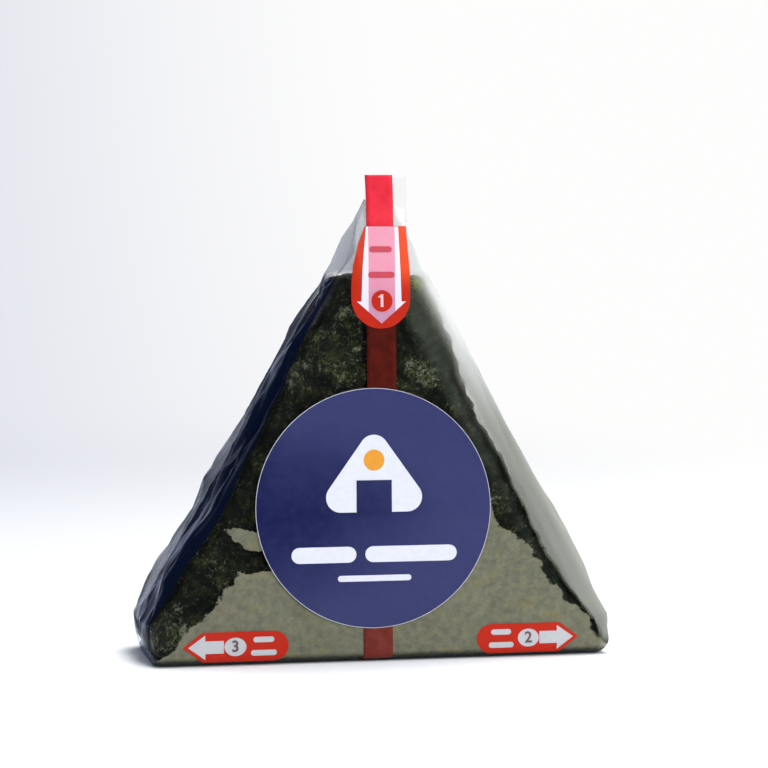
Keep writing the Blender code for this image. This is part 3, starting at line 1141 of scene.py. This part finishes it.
def addBackdrop():
    # pale paper that runs along the ground and curves up behind
    b = backdrop
    bm = bmesh.new()
    bmesh.ops.create_grid(bm, x_segments=1, y_segments=1, size=b["reach"])
    bm.verts.ensure_lookup_table()
    for vert in bm.verts:
        vert.co.y = -b["reach"] if vert.co.y < 0 else b["wallY"] - b["bend"]
    edge = [e for e in bm.edges if all(v.co.y > 0 for v in e.verts)]
    geom = edge + list(edge[0].verts)
    cent = (0, b["wallY"] - b["bend"], b["bend"])
    turned = bmesh.ops.spin(bm, geom=geom, cent=cent, axis=(1, 0, 0), angle=math.pi / 2, steps=b["steps"])
    last = [g for g in turned["geom_last"] if isinstance(g, bmesh.types.BMEdge)]
    grown = bmesh.ops.extrude_edge_only(bm, edges=last)["geom"]
    raised = [g for g in grown if isinstance(g, bmesh.types.BMVert)]
    bmesh.ops.translate(bm, vec=(0, 0, b["wallHeight"] - b["bend"]), verts=raised)
    bmesh.ops.recalc_face_normals(bm, faces=bm.faces)
    f = Finish("palePaper")
    paper = f.surface((0.87, 0.87, 0.865), 0.8)
    # seen directly, the paper is near white, with painted shade making it dimmer and cooler to the left
    side = (f.x * 1.6 + 0.5).rise(0, 1)
    white = f.blend(side, (0.63, 0.65, 0.77), (0.985, 0.985, 0.98))
    glow = f.node("ShaderNodeEmission", {}, {"Color": white, "Strength": 1.0}).outputs[0]
    path = f.node("ShaderNodeLightPath")
    far = f.y.rise(0.05, 0.6)
    nearby = (f.x * f.x + f.y * f.y).rise(0.0020, 0.0100)
    mirrored = Wire(f, path.outputs["Is Glossy Ray"]).most(Wire(f, path.outputs["Is Transmission Ray"])) * far
    seen = (Wire(f, path.outputs["Is Camera Ray"]) * (0.05 + nearby * 0.35 + far * 0.60)).most(mirrored)
    makeObject("backdrop", bm, [f.done(f.mixShader(seen, paper, glow))])


def addWorld():
    # a dim room, bluer on the left
    world = bpy.data.worlds.new("studio")
    bpy.context.scene.world = world
    world.use_nodes = True
    tree = world.node_tree
    apart = tree.nodes.new("ShaderNodeSeparateXYZ")
    ramp = tree.nodes.new("ShaderNodeValToRGB")
    tree.links.new(tree.nodes.new("ShaderNodeTexCoord").outputs["Generated"], apart.inputs[0])
    spread = tree.nodes.new("ShaderNodeMapRange")
    spread.inputs["From Min"].default_value, spread.inputs["From Max"].default_value = -1, 1
    tree.links.new(apart.outputs[0], spread.inputs["Value"])
    tree.links.new(spread.outputs[0], ramp.inputs[0])
    ramp.color_ramp.elements[0].color = (0.10, 0.15, 0.28, 1)
    ramp.color_ramp.elements[1].color = (0.40, 0.41, 0.42, 1)
    tree.links.new(ramp.outputs[0], tree.nodes["Background"].inputs[0])


def addStage():
    addBackdrop()
    addWorld()
    for name, lamp in lamps.items():
        addLamp(name, **lamp)
    bpy.context.scene.view_settings.view_transform = "Standard"


addCamera()
addStage()
print("camera and stage made")

filmShape = filmMesh()
filmTree = BVHTree.FromBMesh(filmShape)
noriShape = keepInside(noriMesh(), filmTree, noriCare["room"])
noriBody = makeObject("noriRiceBall", noriShape, [noriFinish()])
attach(noriBody, "root")
print("nori made")

film = makeObject("clearWrap", filmShape, [filmFinish()])
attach(film, "root")
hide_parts("film_wrapped_rice_ball")
print("film made")

redTape = tapeFinish()
tape = makeObject("tearTape", gather([(0, tapeMesh(filmTree)), (0, tabMesh())]), [redTape])
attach(tape, "root")
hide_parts("tear_tape")
clearTab = makeObject("clearTab", clearTabMesh(), [plainClearFinish()])
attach(clearTab, "root")
print("tape made")

redInk = panelRedFinish()
whiteInk = inkFinish("whiteInk", (0.585, 0.59, 0.60))
pinkInk = inkFinish("pinkRedInk", (0.62, 0.07, 0.10))
paleInk = inkFinish("palePinkInk", (0.86, 0.60, 0.62))
greyInk = inkFinish("greyRedInk", (0.17, 0.10, 0.10))
panelInks = [redInk, whiteInk, pinkInk, greyInk, tapeWhiteFinish(), paleInk]
for name, parts in (
    ("printPanelOne", topPanelParts(filmTree)),
    ("printPanelTwo", cornerPanelParts(filmTree, 1, "2")),
    ("printPanelThree", cornerPanelParts(filmTree, -1, "3")),
):
    sheets = [(number, thicken(bm, printCare["thickness"])) for number, bm in parts]
    panel = makeObject(name, gather(sheets), panelInks, smooth=False)
    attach(panel, "root")
print("printed panels made")

labelInks = [labelFinish()]
labelInks.append(inkFinish("labelWhite", (0.82, 0.83, 0.88)))
labelInks.append(inkFinish("labelOrange", (0.86, 0.36, 0.04)))
labelSheets = []
for index, (number, bm) in enumerate(labelParts()):
    # the second one is the paper itself, the others are prints
    thickness = labelCare["thickness"] if index == 1 else printCare["thickness"]
    labelSheets.append((number, thicken(bm, thickness)))
label = makeObject("roundLabel", gather(labelSheets), labelInks, smooth=False)
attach(label, "root")
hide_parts("round_label")
print("label made")
